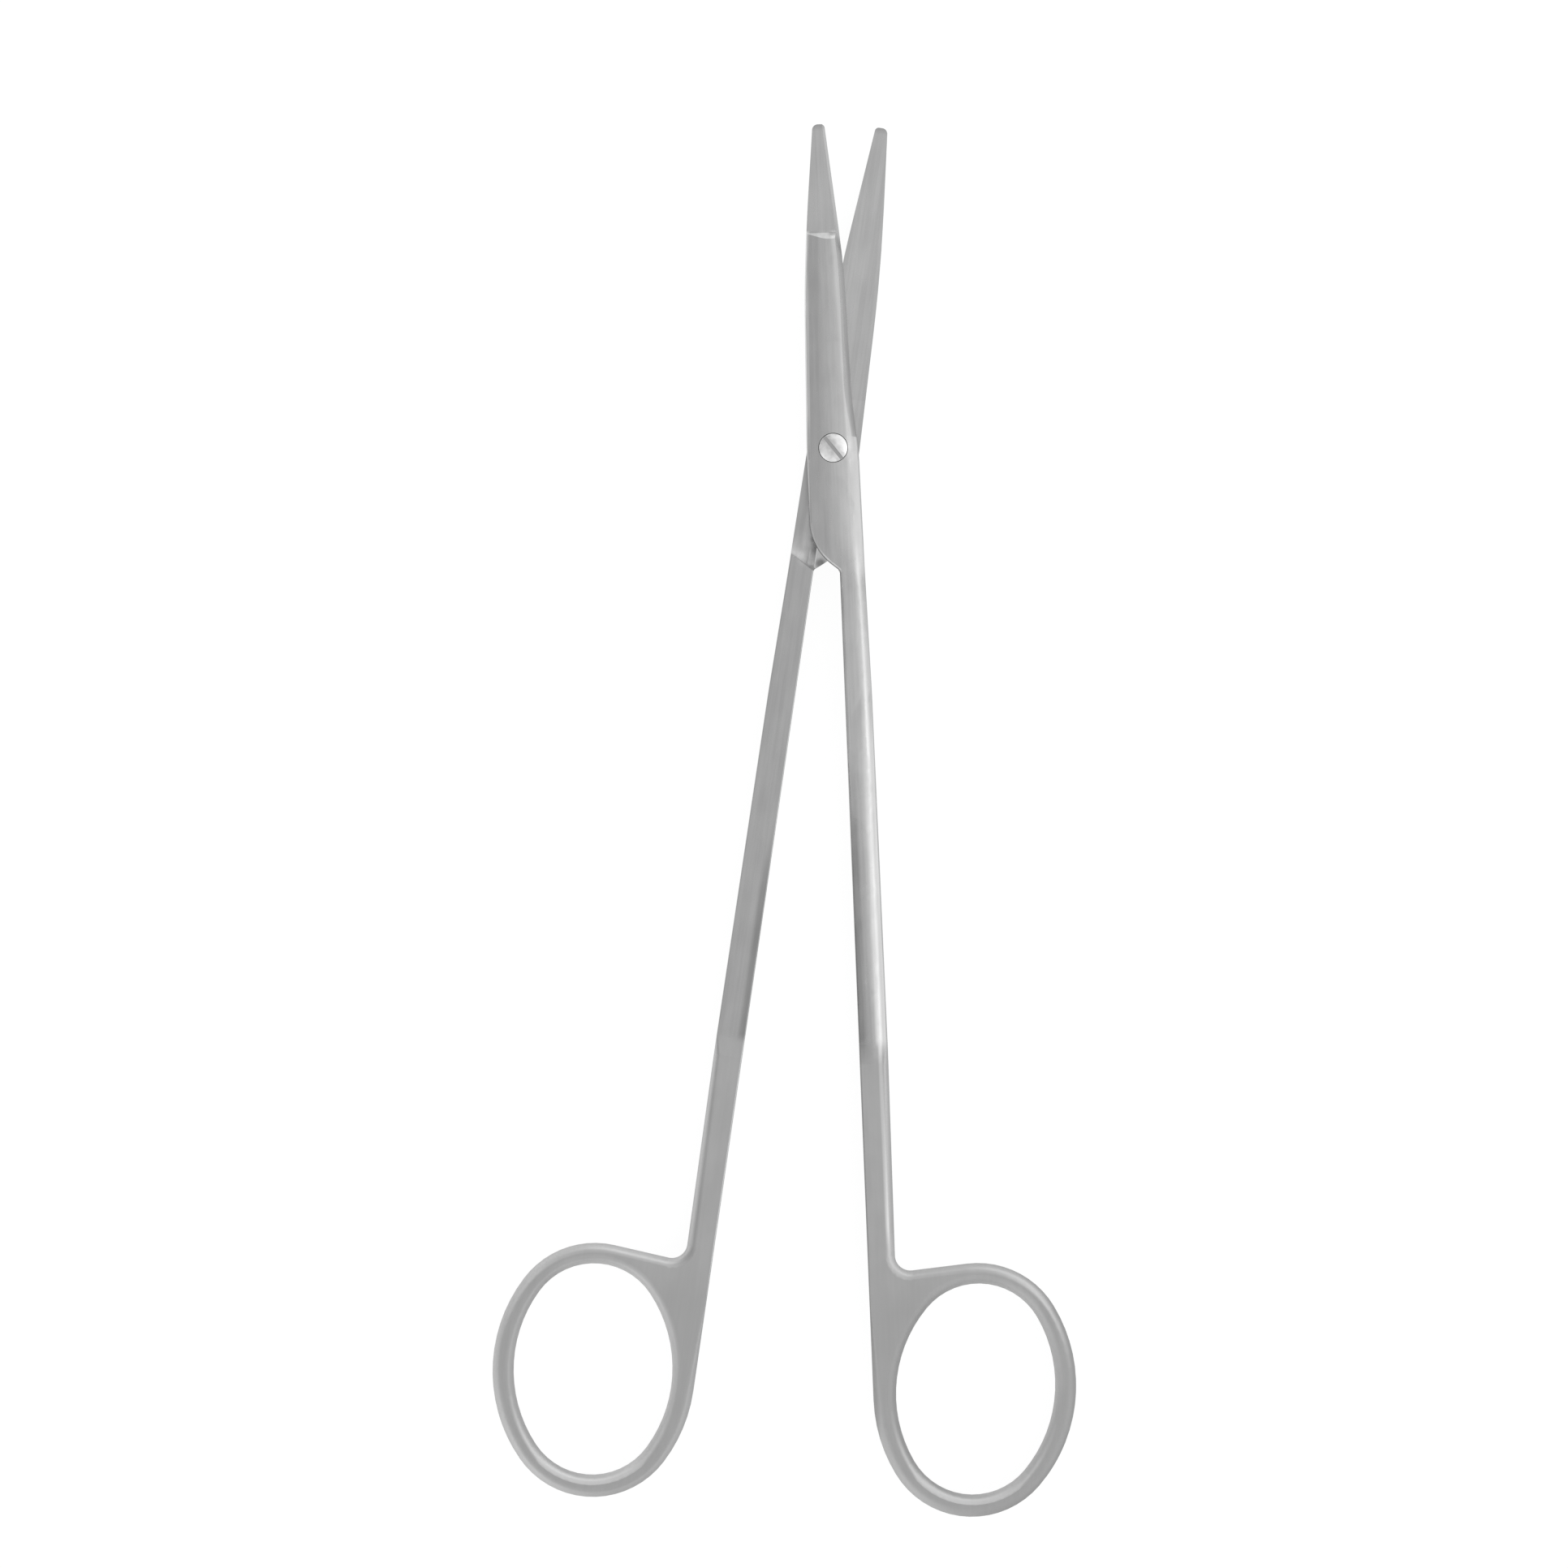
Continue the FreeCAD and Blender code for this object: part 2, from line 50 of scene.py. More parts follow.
# The steels: the colour straight on, what a grazing view reflects of a perfect mirror, and the roughness
# of each finish, with what the rings, the block's round edge and the clouds add to it
STEEL = "#C4C4C4"
EDGE_TINT = "#DADADA"
POLISHED_ROUGHNESS = 0.26
BLASTED_ROUGHNESS = 0.42
RING_ROUGHNESS = 0.18
BLOCK_EDGE_ROUGHNESS = 0.1
CLOUD_ROUGHNESS = 0.03

# Marks in the finish, as their size across the half and along it: polishing lines, the streaks that show
# between them, blasted grain and faint clouds. Lines and grain are coarser than real ones, to show at all.
MARKS = {"lines": (0.12, 9.0), "streaks": (0.45, 14.0), "grain": (0.16, 0.16), "clouds": (2.5, 5.0)}
MARK_DETAIL = 2.0
MARK_CONTRAST = (0.3, 0.7)
RELIEF_DEPTH = 0.01
RELIEF_STRENGTH = 0.25
STREAK_TONE = 0.04
STREAKS_LEFT_BEHIND = 0.3
CLOUD_TONE = 0.025

# Where the steel faces: the inner face, as far as it is flat, and the back with its rounds. Then where the
# inner face passes from the blade's tone to the shank's, and the blade's tone
INNER_FACING = (-0.8, -0.95)
BACK_FACING = (-0.2, 0.1)
INNER_REACH = (0.0, -18.0)
INNER_BLADE_TONE = 1.02

# The ground back of the blade: its ends, painted shade and painted light on the two sides of its ridge, a
# painted highlight beside the cutting edge and a painted highlight along the spine
GROUND_HEEL = (-15.0, -12.0)
STEP_BLEND = 0.3
RIDGE = -0.85
RIDGE_SOFT = 0.35
SPINE_FACET_PAINTED_SHADE = -0.045
EDGE_FACET_PAINTED_LIGHT = 0.06
FACET_REACH = (-2.0, 6.0)
LONG_EDGE = 2.15
LONG_EDGE_SLOPE = -0.035
LONG_EDGE_WIDTH = (0.1, 0.55)
LONG_EDGE_REACH = (-6.0, 4.0)
LONG_EDGE_PAINTED_HIGHLIGHT = 0.22
SPINE = [(-2.0, -3.42), (23.5, -2.8), (33.0, -1.98), (41.8, -0.98)]
SPINE_RIM = (0.28, 0.6)
SPINE_RIM_PAINTED_HIGHLIGHT = 0.4

# The sloped face of the step: which way it faces, how far along it reaches, and where painted shade darkens
# it
STEP_FACING = 0.85
FACING_MARGIN = (0.04, 0.09)
STEP_REACH = (29.2, 29.7)
STEP_START = (27.2, 27.6)
STEP_SHADE = (0.2, 1.1)
STEP_SHADE_TONE = -0.5

# The turned seat of the screw's head, given painted light: how far it reaches and faces
SEAT_RADIUS = (1.95, 1.92)
SEAT_FACING = (0.95, 0.85)
SEAT_PAINTED_LIGHT = 0.7

# The round outer edge of the joint block, with painted shade that dims its highlight, and the blunt tip
BLOCK_EDGE = (1.9, 2.5)
BLOCK_EDGE_HEEL = (-16.0, -11.0)
BLOCK_EDGE_PAINTED_SHADE = -0.12
TIP_ROUND = 1.0
TIP_TONE = 0.8

# The end of the joint block: its rounded corner edge, where that faces and lies, and the painted shade on
# it
CORNER_FACING = (0.95, 0.8)
CORNER_HEEL = (-4.0, -9.0)
CORNER_SIDE = (1.2, 0.2)
CORNER_PAINTED_SHADE = -0.28

# The shoulder that the other block swings over. Its scooped wall gets painted light: how it faces away from
# the flat inner face, its place across the half, how far it reaches to each side, and its start and end
WALL_FACING = (-0.99, -0.93)
WALL = 0.62
WALL_REACH = (0.3, 0.6)
WALL_START = (-11.0, -11.8)
WALL_END = (-15.6, -15.1)
WALL_PAINTED_LIGHT = 0.5

# Spots of painted light and painted shade on the shoulder, two light ones and a dark one: the middle of
# each across and along the half, how far it is full and how far it reaches, and its tone
SHOULDER_PAINTED_SPOTS = [
    ((0.6, -12.7), (0.2, 0.9), 0.35),
    ((1.5, -14.6), (0.5, 1.4), 0.12),
    ((-0.55, -14.9), (0.25, 0.9), -0.5),
]

# The back of the shank: freshly polished behind the joint. Along its outer edge a painted highlight band
# and a
# foot of painted shade: how far inside the edge the band starts, is full, ends and the foot is full
FRESH_START = (-17.0, -24.0)
FRESH_END = (-95.0, -50.0)
FRESH_TONE = 0.09
SHANK_OUTLINE = [(-77.0, 3.9), (-32.0, 3.72), (-17.0, 3.46)]
POLISHED_BAND = (1.7, 1.2, 0.95, 0.5)
POLISHED_BAND_START = (-21.0, -56.0)
POLISHED_BAND_HIGHLIGHT = 0.27
POLISHED_FOOT_SHADE = -0.2
POLISHED_FOOT_START = (-15.0, -18.0)
# The same painted highlight band and shaded foot behind the finish line
BLASTED_BAND = (1.4, 1.1, 0.95, 0.65)
BLASTED_BAND_HIGHLIGHT = 0.32
BLASTED_FOOT_SHADE = -0.1
BLASTED_BAND_END = (-104.0, -100.0)

# The rings: where they start, and the painted light and shade on their rounded flanks, lighter on those
# that face left and darker on those that face right, and a painted highlight on those that face forwards
# and not aside
RING_START = (-104.0, -112.0)
FLANK_SIDEWAYS = (-0.6, 0.6)
FLANK_SIDEWAYS_PAINTED_SHADING = (0.12, -0.2)
FLANK_FORWARD = (0.04, 0.3, 0.55, 0.85)
FLANK_FORWARD_PAINTED_HIGHLIGHT = 0.42
FLANK_ASIDE = (0.25, 0.8)
FLANK_UPRIGHT_PAINTED_HIGHLIGHT = 0.05

# The inner edge of a shank, darker along a stretch of it
SHANK_INNER_EDGE = 0.22
DARK_EDGE_WIDTH = 1.2

# The screw: the floor of its slot, its head, the slot's direction, how far from it the cheeks carry a
# painted highlight, and the uneven patches in its polish
SLOT_LEVEL = 4.12
SLOT_SOFT = 0.03
HEAD_RADIUS = 1.83
HEAD_RIM = (0.06, 0.03)
SLOT_ANGLE = -47.6
CHEEK_HIGHLIGHT = (0.3, 1.1)
PATCHES = {"patches": (0.7, 0.7)}
PATCH_SHADE = 0.35
# The colours of the slot's painted shade, of the head, and of the cheeks' painted highlight
SLOT_SHADE_COLOUR = "#B4B4B4"
HEAD_COLOUR = "#DCDCDC"
CHEEK_HIGHLIGHT_COLOUR = "#FFFFFF"
SCREW_ROUGHNESS = (0.12, 0.22)

# The studio round the object: brightness from the far left, over the top, to the far right
STUDIO = [
    (-1.0, 0.85),
    (-0.93, 0.66),
    (-0.77, 0.46),
    (-0.5, 0.6),
    (-0.2, 0.65),
    (0.0, 0.72),
    (0.25, 0.87),
    (0.47, 0.93),
    (0.64, 1.15),
    (0.83, 1.55),
    (0.94, 1.3),
    (1.0, 0.95),
]
STUDIO_PEAK = 2.0

# Soft light patches in it: their direction, how near to it they start, and their strength
TOP_PATCH = ((0.2, 0.97, 0.1), 0.8, 0.7)
LOW_LEFT_PATCH = ((-0.7, -0.7, 0.45), 0.78, 0.75)

# What differs between the halves: how far each is turned, the side of its cutting edge, the tones of its
# inner face and behind the finish line, and how dark its inner edge is made, and from where to where
UPPER_FINISH = {
    "turn": HALF_ANGLE,
    "side": 1.0,
    "inner_tone": 1.0,
    "behind_tone": 0.88,
    "inner_edge_dark_tone": -0.29,
    "inner_edge_dark_reach": (-41.0, -54.0),
}
LOWER_FINISH = {
    "turn": -HALF_ANGLE,
    "side": -1.0,
    "inner_tone": 0.88,
    "behind_tone": 1.0,
    "inner_edge_dark_tone": -0.25,
    "inner_edge_dark_reach": (-48.0, -60.0),
}

# Names and settings of the nodes that are used often
MATH = "ShaderNodeMath"
MIX = "ShaderNodeMix"
RANGE = "ShaderNodeMapRange"
SOFT = {"interpolation_type": "SMOOTHSTEP"}

# The sockets of a Mix node go by number: the factor, the two values, the two colours and the mixed colour
FACTOR = 0
FIRST_VALUE = 2
SECOND_VALUE = 3
FIRST_COLOUR = 6
SECOND_COLOUR = 7
MIXED_COLOUR = 2


def linear(hex_colour):
    """An sRGB hex colour as linear red, green, blue and alpha."""
    values = [int(hex_colour[i : i + 2], 16) / 255 for i in (1, 3, 5)]
    return [v / 12.92 if v <= 0.04045 else ((v + 0.055) / 1.055) ** 2.4 for v in values] + [1.0]


def add(tree, kind, inputs=(), stops=(), **settings):
    """Add a node with its settings; its inputs, in order or by name, take values, sockets or nodes.

    The stops of a colour ramp, which starts with two, are each a place and a grey level from 0 to 1.
    """
    node = tree.nodes.new(kind)
    for name, value in settings.items():
        setattr(node, name, value)
    for _ in stops[2:]:
        node.color_ramp.elements.new(0.5)
    for index, (place, level) in enumerate(stops):
        node.color_ramp.elements[index].position = place
        node.color_ramp.elements[index].color = [level] * 3 + [1.0]
    named = inputs if isinstance(inputs, dict) else dict(enumerate(inputs))
    for socket, source in named.items():
        if isinstance(source, bpy.types.Node):
            source = source.outputs[0]
        if isinstance(source, bpy.types.NodeSocket):
            tree.links.new(source, node.inputs[socket])
        else:
            node.inputs[socket].default_value = source
    return node


def new_material(name):
    """An empty material and its node tree."""
    material = bpy.data.materials.new(name)
    material.use_nodes = True
    material.node_tree.nodes.clear()
    return material, material.node_tree


def places(tree, turn, side):
    """Where a point lies on a half, and masks for its back and for what is behind the finish line."""
    coords = add(tree, "ShaderNodeTexCoord")
    turned = {
        "Vector": coords.outputs["Object"],
        "Rotation": (0, 0, math.radians(-turn)),
        "Scale": (1 / MM, 1 / MM, 1 / MM),
    }
    place = add(tree, "ShaderNodeMapping", turned)
    parts = add(tree, "ShaderNodeSeparateXYZ", [place])
    normal = add(tree, "ShaderNodeSeparateXYZ", [coords.outputs["Normal"]])
    along = parts.outputs["Y"]
    across = add(tree, MATH, [parts.outputs["X"], side], operation="MULTIPLY")
    facing = add(tree, MATH, [normal.outputs["Z"], side], operation="MULTIPLY")
    back = add(tree, RANGE, [facing, *BACK_FACING], **SOFT)
    line = [along, FINISH_LINE + FINISH_BLEND, FINISH_LINE - FINISH_BLEND]
    behind = add(tree, RANGE, line, **SOFT)
    polished = add(tree, MATH, [1.0, behind], operation="SUBTRACT")
    return SimpleNamespace(
        place=place,
        along=along,
        across=across,
        facing=facing,
        sideways=normal.outputs["X"],
        forwards=normal.outputs["Y"],
        back=back,
        behind=behind,
        polished=polished,
    )


def marks(tree, place, sizes):
    """Noise for each kind of mark, with one size across the piece and another along it."""
    found = {}
    for name, (across, along) in sizes.items():
        scaled = {"Vector": place, "Scale": (1 / across, 1 / along, 1 / across)}
        vector = add(tree, "ShaderNodeMapping", scaled)
        sizing = {"Vector": vector, "Scale": 1.0, "Detail": MARK_DETAIL}
        found[name] = add(tree, "ShaderNodeTexNoise", sizing)
    return found


def outline_side(tree, along, points):
    """The sideways place of an outline at each place along it."""
    start = points[0][0]
    end = points[-1][0]
    low = min(side for _, side in points)
    high = max(side for _, side in points)
    stops = [((place - start) / (end - start), (side - low) / (high - low)) for place, side in points]
    share = add(tree, RANGE, [along, start, end])
    curve = add(tree, "ShaderNodeValToRGB", [share], stops=stops)
    return add(tree, RANGE, [curve, 0.0, 1.0, low, high])


def relief(tree, half, found):
    """Polishing lines ahead of the finish line and blasted grain behind it, as fine relief."""
    heights = {FACTOR: half.behind, FIRST_VALUE: found["lines"], SECOND_VALUE: found["grain"]}
    height = add(tree, MIX, heights)
    bump = {"Height": height, "Strength": RELIEF_STRENGTH, "Distance": RELIEF_DEPTH * MM}
    return add(tree, "ShaderNodeBump", bump)


def block_edge(tree, half):
    """The round outer edge of the joint block and the blade's heel."""
    edge = add(tree, RANGE, [half.across, *BLOCK_EDGE], **SOFT)
    reach = add(tree, RANGE, [half.along, *BLOCK_EDGE_HEEL], **SOFT)
    return add(tree, MATH, [edge, reach], operation="MULTIPLY")


def roughness(tree, half, found, edge):
    """Smooth where polished, rougher behind the finish line and roughest on the rings."""
    finish = add(tree, RANGE, [half.behind, 0.0, 1.0, POLISHED_ROUGHNESS, BLASTED_ROUGHNESS])
    cloudy = [found["clouds"], *MARK_CONTRAST, -CLOUD_ROUGHNESS, CLOUD_ROUGHNESS]
    uneven = add(tree, MATH, [finish, add(tree, RANGE, cloudy, **SOFT)], operation="ADD")
    ring = add(tree, RANGE, [half.along, *RING_START, 0.0, RING_ROUGHNESS], **SOFT)
    ringed = add(tree, MATH, [uneven, ring], operation="ADD")
    return add(tree, MATH, [edge, BLOCK_EDGE_ROUGHNESS, ringed], operation="MULTIPLY_ADD")


def marked_tone(tree, half, found):
    """The steel's even tone, with streaks that fade behind the finish line and faint clouds."""
    streaks = add(tree, RANGE, [found["streaks"], *MARK_CONTRAST, -STREAK_TONE, STREAK_TONE], **SOFT)
    fade = add(tree, RANGE, [half.behind, 0.0, 1.0, 1.0, STREAKS_LEFT_BEHIND])
    cloudy = [found["clouds"], *MARK_CONTRAST, 1 - CLOUD_TONE, 1 + CLOUD_TONE]
    clouds = add(tree, RANGE, cloudy, **SOFT)
    return add(tree, MATH, [streaks, fade, clouds], operation="MULTIPLY_ADD")


def inner_face(tree, half, tone, inner_tone, behind_tone):
    """The flat inner face, in its own tone along the shank, and the tone behind the finish line."""
    shank = add(tree, RANGE, [half.along, *INNER_REACH, INNER_BLADE_TONE, inner_tone], **SOFT)
    inner = add(tree, RANGE, [half.facing, *INNER_FACING, 1.0, shank], **SOFT)
    tone = add(tree, MATH, [tone, inner], operation="MULTIPLY")
    blasted = add(tree, RANGE, [half.behind, 0.0, 1.0, 1.0, behind_tone])
    return add(tree, MATH, [tone, blasted], operation="MULTIPLY")


def ground_blade(tree, half, tone):
    """The ground back of the blade: painted shade and light on its two facets, and painted highlights by
    the edge and spine.
    """
    front = add(tree, RANGE, [half.along, STEP, STEP + STEP_BLEND, 1.0, 0.0], **SOFT)
    heel = add(tree, RANGE, [half.along, *GROUND_HEEL], **SOFT)
    ground = add(tree, MATH, [front, heel], operation="MULTIPLY")
    ground = add(tree, MATH, [ground, half.back], operation="MULTIPLY")
    blade = add(tree, RANGE, [half.along, *FACET_REACH], **SOFT)

    # Painted light on the facet towards the cutting edge, painted shade on the facet towards the spine
    light = add(tree, MATH, [blade, EDGE_FACET_PAINTED_LIGHT], operation="MULTIPLY")
    ridge = [half.across, RIDGE - RIDGE_SOFT, RIDGE + RIDGE_SOFT, SPINE_FACET_PAINTED_SHADE, light]
    facet_shading = add(tree, RANGE, ridge, **SOFT)

    # A painted highlight beside the cutting edge
    line = add(tree, MATH, [half.along, LONG_EDGE_SLOPE, LONG_EDGE], operation="MULTIPLY_ADD")
    aside = add(tree, MATH, [half.across, line], operation="SUBTRACT")
    aside = add(tree, MATH, [aside], operation="ABSOLUTE")
    shine = add(tree, RANGE, [aside, *LONG_EDGE_WIDTH, LONG_EDGE_PAINTED_HIGHLIGHT, 0.0], **SOFT)
    reach = add(tree, RANGE, [half.along, *LONG_EDGE_REACH], **SOFT)
    light = add(tree, MATH, [shine, reach, facet_shading], operation="MULTIPLY_ADD")

    # A painted highlight along the spine
    inside = add(tree, MATH, [half.across, outline_side(tree, half.along, SPINE)], operation="SUBTRACT")
    rim = add(tree, RANGE, [inside, *SPINE_RIM, SPINE_RIM_PAINTED_HIGHLIGHT, 0.0], **SOFT)
    light = add(tree, MATH, [rim, blade, light], operation="MULTIPLY_ADD")
    return add(tree, MATH, [light, ground, tone], operation="MULTIPLY_ADD")


def step_and_seat(tree, half, tone):
    """The step of the blade, with painted shade towards the cutting edge, and painted light on the screw's
    seat.
    """
    slope = add(tree, MATH, [half.facing, STEP_FACING], operation="SUBTRACT")
    slope = add(tree, MATH, [slope], operation="ABSOLUTE")
    slope = add(tree, RANGE, [slope, *FACING_MARGIN, 1.0, 0.0], **SOFT)
    reach = add(tree, RANGE, [half.along, *STEP_REACH, slope, 0.0], **SOFT)
    step = add(tree, RANGE, [half.along, *STEP_START, 0.0, reach], **SOFT)
    # Painted shade on the step towards the cutting edge
    painted_shading = add(tree, RANGE, [half.across, *STEP_SHADE, 0.0, STEP_SHADE_TONE], **SOFT)
    tone = add(tree, MATH, [painted_shading, step, tone], operation="MULTIPLY_ADD")

    # Painted light on the seat round the screw's head
    flat = add(tree, "ShaderNodeVectorMath", [half.place, (1, 1, 0)], operation="MULTIPLY")
    radius = add(tree, "ShaderNodeVectorMath", [flat], operation="LENGTH").outputs["Value"]
    wall = add(tree, RANGE, [half.facing, *SEAT_FACING], **SOFT)
    seat = add(tree, RANGE, [radius, *SEAT_RADIUS, 0.0, wall], **SOFT)
    return add(tree, MATH, [seat, SEAT_PAINTED_LIGHT, tone], operation="MULTIPLY_ADD")


def bright_band(tree, place, band, light, painted_shading):
    """A painted highlight band between an even face and an edge, where it falls to a foot of painted shade.
    """
    bright = add(tree, RANGE, [place, band[0], band[1], 0.0, light], **SOFT)
    return add(tree, RANGE, [place, band[2], band[3], bright, painted_shading], **SOFT)


def shank_back(tree, half, tone):
    """The back of the shank: fresh polish behind the joint, and the painted highlight band and shaded foot
    by its edge.
    """
    start = add(tree, RANGE, [half.along, *FRESH_START, 0.0, FRESH_TONE], **SOFT)
    fresh = add(tree, RANGE, [half.along, *FRESH_END, 0.0, start], **SOFT)
    fresh = add(tree, MATH, [fresh, half.polished], operation="MULTIPLY")

    outline = outline_side(tree, half.along, SHANK_OUTLINE)
    inside = add(tree, MATH, [outline, half.across], operation="SUBTRACT")
    # A painted highlight band and a foot of painted shade along the outer edge, ahead of the finish line
    light = add(tree, RANGE, [half.along, *POLISHED_BAND_START, 0.0, POLISHED_BAND_HIGHLIGHT], **SOFT)
    band = bright_band(tree, inside, POLISHED_BAND, light, POLISHED_FOOT_SHADE)
    foot = add(tree, RANGE, [half.along, *POLISHED_FOOT_START], **SOFT)
    band = add(tree, MATH, [band, foot], operation="MULTIPLY")
    light = add(tree, MATH, [band, half.polished, fresh], operation="MULTIPLY_ADD")

    # The same painted highlight band and shaded foot behind the finish line
    band = bright_band(tree, inside, BLASTED_BAND, BLASTED_BAND_HIGHLIGHT, BLASTED_FOOT_SHADE)
    end = add(tree, RANGE, [half.along, *BLASTED_BAND_END], **SOFT)
    blasted = add(tree, MATH, [end, half.behind], operation="MULTIPLY")
    light = add(tree, MATH, [band, blasted, light], operation="MULTIPLY_ADD")
    return add(tree, MATH, [light, half.back, tone], operation="MULTIPLY_ADD")


def darkened_inner_edge(tree, half, tone, dark_tone, reach):
    """The inner edge of the shank, darker along a stretch of it."""
    edge = [half.across, SHANK_INNER_EDGE + DARK_EDGE_WIDTH / 2, SHANK_INNER_EDGE + DARK_EDGE_WIDTH, 1.0, 0.0]
    near_inner_edge = add(tree, RANGE, edge, **SOFT)
    dark = add(tree, RANGE, [half.along, *reach, 0.0, dark_tone], **SOFT)
    dark = add(tree, MATH, [dark, half.polished], operation="MULTIPLY")
    return add(tree, MATH, [near_inner_edge, dark, tone], operation="MULTIPLY_ADD")


def spot(tree, half, middle, reach):
    """A soft round mask about a place on the half, seen in plan."""
    offset = add(tree, "ShaderNodeCombineXYZ", [half.across, half.along])
    offset = add(tree, "ShaderNodeVectorMath", [offset, (*middle, 0.0)], operation="SUBTRACT")
    distance = add(tree, "ShaderNodeVectorMath", [offset], operation="LENGTH").outputs["Value"]
    return add(tree, RANGE, [distance, *reach, 1.0, 0.0], **SOFT)


def block_end(tree, half, tone):
    """The end of the block with painted shade on its corner edge, and painted light and shade on the
    shoulder.
    """
    # Painted shade on the corner edge at the end of the block
    edge = add(tree, RANGE, [half.facing, *CORNER_FACING, 0.0, half.back], **SOFT)
    heel = add(tree, RANGE, [half.along, *CORNER_HEEL, 0.0, edge], **SOFT)
    corner = add(tree, RANGE, [half.across, *CORNER_SIDE, 0.0, heel], **SOFT)
    tone = add(tree, MATH, [corner, CORNER_PAINTED_SHADE, tone], operation="MULTIPLY_ADD")

    # Painted light on the scooped wall of the shoulder
    inner = add(tree, MATH, [1.0, half.back], operation="SUBTRACT")
    aside = add(tree, MATH, [half.across, WALL], operation="SUBTRACT")
    aside = add(tree, MATH, [aside], operation="ABSOLUTE")
    wall = add(tree, RANGE, [aside, *WALL_REACH, WALL_PAINTED_LIGHT, 0.0], **SOFT)
    wall = add(tree, RANGE, [half.facing, *WALL_FACING, 0.0, wall], **SOFT)
    wall = add(tree, RANGE, [half.along, *WALL_START, 0.0, wall], **SOFT)
    wall = add(tree, RANGE, [half.along, *WALL_END, 0.0, wall], **SOFT)
    tone = add(tree, MATH, [wall, inner, tone], operation="MULTIPLY_ADD")
    # Spots of painted light and painted shade on the shoulder
    for middle, reach, mark_tone in SHOULDER_PAINTED_SPOTS:
        mark = add(tree, MATH, [spot(tree, half, middle, reach), inner], operation="MULTIPLY")
        tone = add(tree, MATH, [mark, mark_tone, tone], operation="MULTIPLY_ADD")
    return tone


def ring_flanks(tree, half, tone):
    """Painted light and shade on the ring's flanks: darker right, lighter left, a painted highlight in
    front.
    """
    # Painted light on flanks facing left and painted shade on flanks facing right
    painted_shading = add(tree, RANGE, [half.sideways, *FLANK_SIDEWAYS, *FLANK_SIDEWAYS_PAINTED_SHADING], **SOFT)
    # A painted highlight on flanks facing forwards
    bright = bright_band(tree, half.forwards, FLANK_FORWARD, FLANK_FORWARD_PAINTED_HIGHLIGHT, FLANK_UPRIGHT_PAINTED_HIGHLIGHT)
    aside = add(tree, MATH, [half.sideways], operation="ABSOLUTE")
    front = add(tree, RANGE, [aside, *FLANK_ASIDE, 1.0, 0.0], **SOFT)
    light = add(tree, MATH, [bright, front, painted_shading], operation="MULTIPLY_ADD")
    ring = add(tree, RANGE, [half.along, *RING_START], **SOFT)
    return add(tree, MATH, [light, ring, tone], operation="MULTIPLY_ADD")


def satin_steel(name, turn, side, inner_tone, behind_tone, inner_edge_dark_tone, inner_edge_dark_reach):
    """Stainless steel, polished lengthwise from the tip to the finish line and blasted behind it.

    The polish gives long soft highlights along the half, broken by faint streaks; the blasted grain
    behind the line scatters them, and painted light and shade on their flanks make the rings look paler and
    more even.
    The inner face is ground and has its own tone, the facing edges of the shanks are darker along a
    stretch, and the blade, block, shoulder and shank's back carry painted highlights and painted shade.
    """
    material, tree = new_material(name)
    half = places(tree, turn, side)
    found = marks(tree, half.place, MARKS)
    edge = block_edge(tree, half)
    tone = marked_tone(tree, half, found)
    tone = inner_face(tree, half, tone, inner_tone, behind_tone)
    tone = ground_blade(tree, half, tone)
    tone = step_and_seat(tree, half, tone)
    tone = shank_back(tree, half, tone)
    tone = darkened_inner_edge(tree, half, tone, inner_edge_dark_tone, inner_edge_dark_reach)
    tone = block_end(tree, half, tone)
    tone = ring_flanks(tree, half, tone)
    # Painted shade on the round outer edge of the joint block
    tone = add(tree, MATH, [edge, BLOCK_EDGE_PAINTED_SHADE, tone], operation="MULTIPLY_ADD")
    blunt = add(tree, RANGE, [half.along, TIP - TIP_ROUND, TIP, 1.0, TIP_TONE], **SOFT)
    tone = add(tree, MATH, [tone, blunt], operation="MULTIPLY")
    toned = {FACTOR: tone, FIRST_COLOUR: linear("#000000"), SECOND_COLOUR: linear(STEEL)}
    colour = add(tree, MIX, toned, data_type="RGBA", clamp_factor=False)
    surface = {
        "Base Color": colour.outputs[MIXED_COLOUR],
        "Metallic": 1.0,
        "Specular Tint": linear(EDGE_TINT),
        "Roughness": roughness(tree, half, found, edge),
        "Normal": relief(tree, half, found),
    }
    add(tree, "ShaderNodeOutputMaterial", [add(tree, "ShaderNodeBsdfPrincipled", surface)])
    return material


